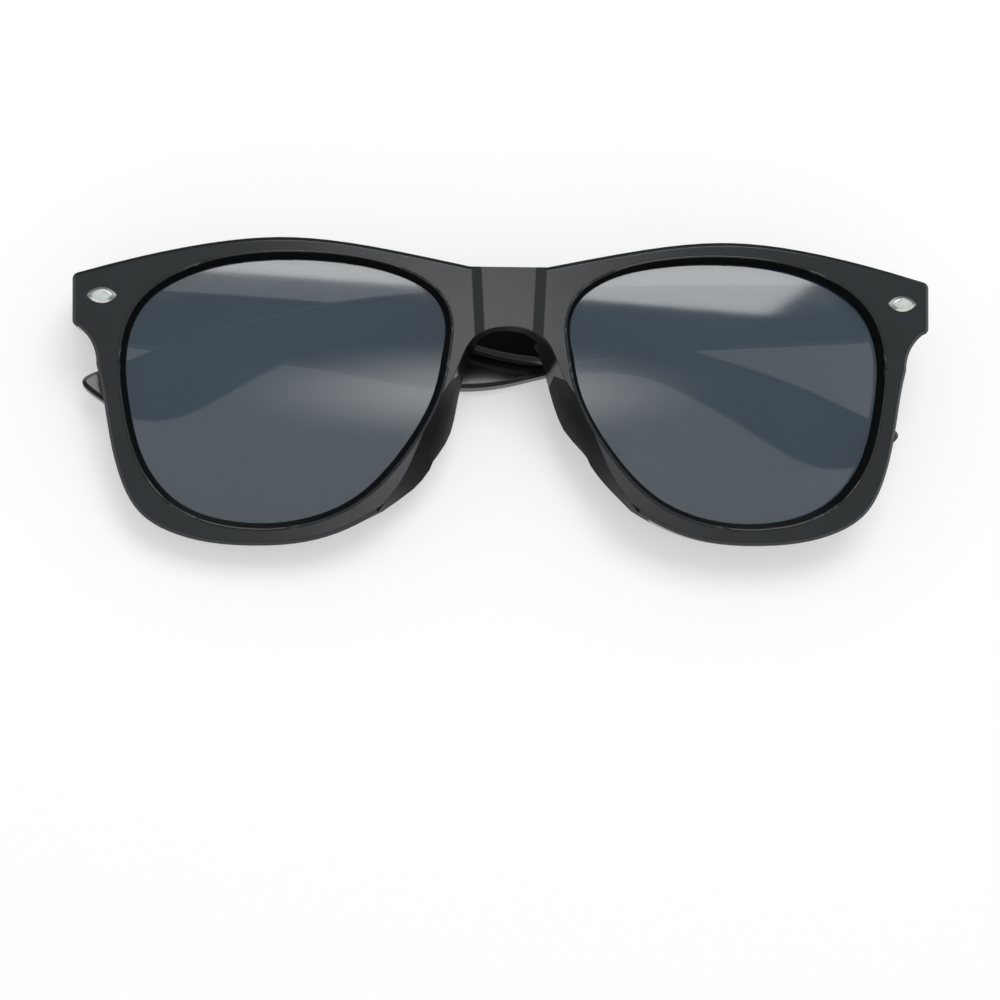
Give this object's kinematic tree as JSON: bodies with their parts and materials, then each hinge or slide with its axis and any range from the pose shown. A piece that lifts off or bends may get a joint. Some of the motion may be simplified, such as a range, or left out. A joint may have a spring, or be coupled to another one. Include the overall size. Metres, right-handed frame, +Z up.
{
  "type": "diffraction glasses",
  "caption": "Folded diffraction glasses: black moulded frame, smoke see-through lenses backed with diffraction film, metal end studs and two hinged temples.",
  "frame": {"origin": "middle of the set's footprint on the table, under its lowest point, with both temples folded", "axes": "+X to the wearer's left along the front, +Y towards the brow, +Z up out of the front of the lenses"},
  "size_m": [0.1462, 0.0512, 0.0229],
  "materials": {
    "black_plastic": "gloss black injection moulded plastic",
    "smoke_lens": "smoke grey-blue see-through plastic",
    "film": "clear diffraction film, finely ruled",
    "bright_metal": "bright nickel plate",
    "hinge_steel": "plain steel"
  },
  "bodies": {
    "front": {"front_frame": "black_plastic", "lens_left": "smoke_lens", "lens_right": "smoke_lens", "diffraction_film_left": "film", "diffraction_film_right": "film", "end_stud_left": "bright_metal", "end_stud_right": "bright_metal", "front_hinge_left": "hinge_steel", "front_hinge_right": "hinge_steel", "hinge_screw_left": "hinge_steel", "hinge_screw_right": "hinge_steel"},
    "left_temple": {"temple_left": "black_plastic", "temple_hinge_left": "hinge_steel"},
    "right_temple": {"temple_right": "black_plastic", "temple_hinge_right": "hinge_steel"}
  },
  "joints": [
    {"name": "temple_left_fold", "type": "hinge", "parent": "front", "child": "left_temple", "pos_m": [0.06793, 0.01706, 0.00966], "axis": [0, -1, 0.0009], "range_deg": [0, 91.2]},
    {"name": "temple_right_fold", "type": "hinge", "parent": "front", "child": "right_temple", "pos_m": [-0.06759, 0.01536, 0.0052], "axis": [0.0314, 0.9995, 0], "range_deg": [0, 87.8]}
  ]
}
